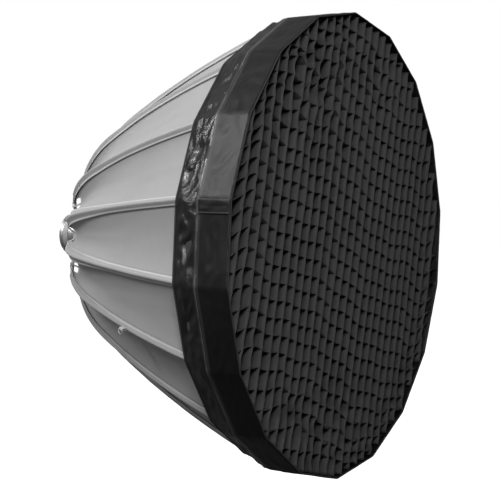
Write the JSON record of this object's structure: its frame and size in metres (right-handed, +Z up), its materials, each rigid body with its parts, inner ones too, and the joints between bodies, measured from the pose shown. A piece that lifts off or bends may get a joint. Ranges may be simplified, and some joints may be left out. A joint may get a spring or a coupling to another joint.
{
  "type": "parabolic softbox with egg-crate grid",
  "caption": "Deep folding parabolic reflector on a lamp-head barrel, with a removable fabric egg-crate grid that narrows a studio light's beam.",
  "frame": {"origin": "centre of the barrel's rear rim, on the optical axis", "axes": "+X out of the mouth along the optical axis, +Z up, +Y to the side of the clamp lever"},
  "size_m": [0.877, 1.1884, 1.1992],
  "materials": {
    "barrel_metal": "satin, turned",
    "liner_rubber": "matte",
    "hub_paint": "satin",
    "fitting_plastic": "satin",
    "steel": "satin",
    "rib_paint": "satin",
    "reflector_fabric": "satin woven nylon",
    "silver_lining": "metallised, satin",
    "elastic": "matte",
    "skirt_nylon": "glossy coated nylon",
    "binding_tape": "matte ribbed tape",
    "hook_tape": "hook and loop pile",
    "crate_fabric": "satin coated nylon"
  },
  "bodies": {
    "hub": {"hub_barrel": "barrel_metal", "barrel_liner": "liner_rubber", "hub_ring": "hub_paint", "hub_retaining_ring": "hub_paint", "hinge_pins": "steel", "rib_stop_pads": "liner_rubber", "rib_lock_springs": "steel", "hub_screws": "steel", "clamp_band": "steel", "clamp_fasteners": "steel", "canopy_shell": "reflector_fabric", "canopy_lining": "silver_lining", "hem_ties": "elastic"},
    "rib_01": {"rib_01": "rib_paint", "rib_foot_01": "fitting_plastic"},
    "rib_02": {"rib_02": "rib_paint", "rib_foot_02": "fitting_plastic"},
    "rib_03": {"rib_03": "rib_paint", "rib_foot_03": "fitting_plastic"},
    "rib_04": {"rib_04": "rib_paint", "rib_foot_04": "fitting_plastic"},
    "rib_05": {"rib_05": "rib_paint", "rib_foot_05": "fitting_plastic"},
    "rib_06": {"rib_06": "rib_paint", "rib_foot_06": "fitting_plastic"},
    "rib_07": {"rib_07": "rib_paint", "rib_foot_07": "fitting_plastic"},
    "rib_08": {"rib_08": "rib_paint", "rib_foot_08": "fitting_plastic"},
    "rib_09": {"rib_09": "rib_paint", "rib_foot_09": "fitting_plastic"},
    "rib_10": {"rib_10": "rib_paint", "rib_foot_10": "fitting_plastic"},
    "rib_11": {"rib_11": "rib_paint", "rib_foot_11": "fitting_plastic"},
    "rib_12": {"rib_12": "rib_paint", "rib_foot_12": "fitting_plastic"},
    "rib_13": {"rib_13": "rib_paint", "rib_foot_13": "fitting_plastic", "ring_tab": "elastic"},
    "rib_14": {"rib_14": "rib_paint", "rib_foot_14": "fitting_plastic"},
    "rib_15": {"rib_15": "rib_paint", "rib_foot_15": "fitting_plastic"},
    "rib_16": {"rib_16": "rib_paint", "rib_foot_16": "fitting_plastic"},
    "rib_17": {"rib_17": "rib_paint", "rib_foot_17": "fitting_plastic"},
    "rib_18": {"rib_18": "rib_paint", "rib_foot_18": "fitting_plastic"},
    "ring": {"d_ring": "steel"},
    "grid": {"grid_front_band": "skirt_nylon", "grid_rear_band": "skirt_nylon", "front_binding": "binding_tape", "rear_binding": "binding_tape", "hook_strip": "hook_tape", "joining_tape": "binding_tape", "crate_vertical_strips": "crate_fabric", "crate_horizontal_strips": "crate_fabric"},
    "lever": {"clamp_lever": "fitting_plastic"}
  },
  "joints": [
    {"name": "grid_slide", "type": "slide", "parent": "hub", "child": "grid", "axis": [1, 0, 0], "range_m": [0, 0.3], "deforming": ["canopy_shell", "canopy_lining", "hem_ties", "rib_lock_springs"]},
    {"name": "rib_01_hinge", "type": "hinge", "parent": "hub", "child": "rib_01", "pos_m": [0.077, 0.00244, 0.06996], "axis": [0, 0.9994, -0.0349], "range_deg": [0, 34]},
    {"name": "rib_02_hinge", "type": "hinge", "parent": "hub", "child": "rib_02", "pos_m": [0.077, 0.02622, 0.0649], "axis": [0, 0.9272, -0.3746], "range_deg": [0, 34]},
    {"name": "rib_03_hinge", "type": "hinge", "parent": "hub", "child": "rib_03", "pos_m": [0.077, 0.04684, 0.05202], "axis": [0, 0.7431, -0.6691], "range_deg": [0, 34]},
    {"name": "rib_04_hinge", "type": "hinge", "parent": "hub", "child": "rib_04", "pos_m": [0.077, 0.06181, 0.03286], "axis": [0, 0.4695, -0.8829], "range_deg": [0, 34]},
    {"name": "rib_05_hinge", "type": "hinge", "parent": "hub", "child": "rib_05", "pos_m": [0.077, 0.06932, 0.00974], "axis": [0, 0.1392, -0.9903], "range_deg": [0, 34]},
    {"name": "rib_06_hinge", "type": "hinge", "parent": "hub", "child": "rib_06", "pos_m": [0.077, 0.06847, -0.01455], "axis": [0, -0.2079, -0.9781], "range_deg": [0, 34]},
    {"name": "rib_07_hinge", "type": "hinge", "parent": "hub", "child": "rib_07", "pos_m": [0.077, 0.05936, -0.03709], "axis": [0, -0.5299, -0.848], "range_deg": [0, 34]},
    {"name": "rib_08_hinge", "type": "hinge", "parent": "hub", "child": "rib_08", "pos_m": [0.077, 0.0431, -0.05516], "axis": [0, -0.788, -0.6157], "range_deg": [0, 34]},
    {"name": "rib_09_hinge", "type": "hinge", "parent": "hub", "child": "rib_09", "pos_m": [0.077, 0.02163, -0.06657], "axis": [0, -0.9511, -0.309], "range_deg": [0, 34]},
    {"name": "rib_10_hinge", "type": "hinge", "parent": "hub", "child": "rib_10", "pos_m": [0.077, -0.00244, -0.06996], "axis": [0, -0.9994, 0.0349], "range_deg": [0, 34]},
    {"name": "rib_11_hinge", "type": "hinge", "parent": "hub", "child": "rib_11", "pos_m": [0.077, -0.02622, -0.0649], "axis": [0, -0.9272, 0.3746], "range_deg": [0, 34]},
    {"name": "rib_12_hinge", "type": "hinge", "parent": "hub", "child": "rib_12", "pos_m": [0.077, -0.04684, -0.05202], "axis": [0, -0.7431, 0.6691], "range_deg": [0, 34]},
    {"name": "rib_13_hinge", "type": "hinge", "parent": "hub", "child": "rib_13", "pos_m": [0.077, -0.06181, -0.03286], "axis": [0, -0.4695, 0.8829], "range_deg": [0, 34]},
    {"name": "rib_14_hinge", "type": "hinge", "parent": "hub", "child": "rib_14", "pos_m": [0.077, -0.06932, -0.00974], "axis": [0, -0.1392, 0.9903], "range_deg": [0, 34]},
    {"name": "rib_15_hinge", "type": "hinge", "parent": "hub", "child": "rib_15", "pos_m": [0.077, -0.06847, 0.01455], "axis": [0, 0.2079, 0.9781], "range_deg": [0, 34]},
    {"name": "rib_16_hinge", "type": "hinge", "parent": "hub", "child": "rib_16", "pos_m": [0.077, -0.05936, 0.03709], "axis": [0, 0.5299, 0.848], "range_deg": [0, 34]},
    {"name": "rib_17_hinge", "type": "hinge", "parent": "hub", "child": "rib_17", "pos_m": [0.077, -0.0431, 0.05516], "axis": [0, 0.788, 0.6157], "range_deg": [0, 34]},
    {"name": "rib_18_hinge", "type": "hinge", "parent": "hub", "child": "rib_18", "pos_m": [0.077, -0.02163, 0.06657], "axis": [0, 0.9511, 0.309], "range_deg": [0, 34]},
    {"name": "lever_hinge", "type": "hinge", "parent": "hub", "child": "lever", "pos_m": [0.02, 0.0662, 0.0164], "axis": [-1, 0, 0], "range_deg": [0, 110]},
    {"name": "ring_swing", "type": "hinge", "parent": "rib_13", "child": "ring", "pos_m": [0.4548, -0.40409, -0.21486], "axis": [0.8888, -0.4047, -0.2152], "range_deg": [-60, 60]}
  ],
  "couplings": [
    {"joint": "rib_01_hinge", "follows": "grid_slide", "rad_per_m": 1.978},
    {"joint": "rib_02_hinge", "follows": "grid_slide", "rad_per_m": 1.978},
    {"joint": "rib_03_hinge", "follows": "grid_slide", "rad_per_m": 1.978},
    {"joint": "rib_04_hinge", "follows": "grid_slide", "rad_per_m": 1.978},
    {"joint": "rib_05_hinge", "follows": "grid_slide", "rad_per_m": 1.978},
    {"joint": "rib_06_hinge", "follows": "grid_slide", "rad_per_m": 1.978},
    {"joint": "rib_07_hinge", "follows": "grid_slide", "rad_per_m": 1.978},
    {"joint": "rib_08_hinge", "follows": "grid_slide", "rad_per_m": 1.978},
    {"joint": "rib_09_hinge", "follows": "grid_slide", "rad_per_m": 1.978},
    {"joint": "rib_10_hinge", "follows": "grid_slide", "rad_per_m": 1.978},
    {"joint": "rib_11_hinge", "follows": "grid_slide", "rad_per_m": 1.978},
    {"joint": "rib_12_hinge", "follows": "grid_slide", "rad_per_m": 1.978},
    {"joint": "rib_13_hinge", "follows": "grid_slide", "rad_per_m": 1.978},
    {"joint": "rib_14_hinge", "follows": "grid_slide", "rad_per_m": 1.978},
    {"joint": "rib_15_hinge", "follows": "grid_slide", "rad_per_m": 1.978},
    {"joint": "rib_16_hinge", "follows": "grid_slide", "rad_per_m": 1.978},
    {"joint": "rib_17_hinge", "follows": "grid_slide", "rad_per_m": 1.978},
    {"joint": "rib_18_hinge", "follows": "grid_slide", "rad_per_m": 1.978}
  ]
}
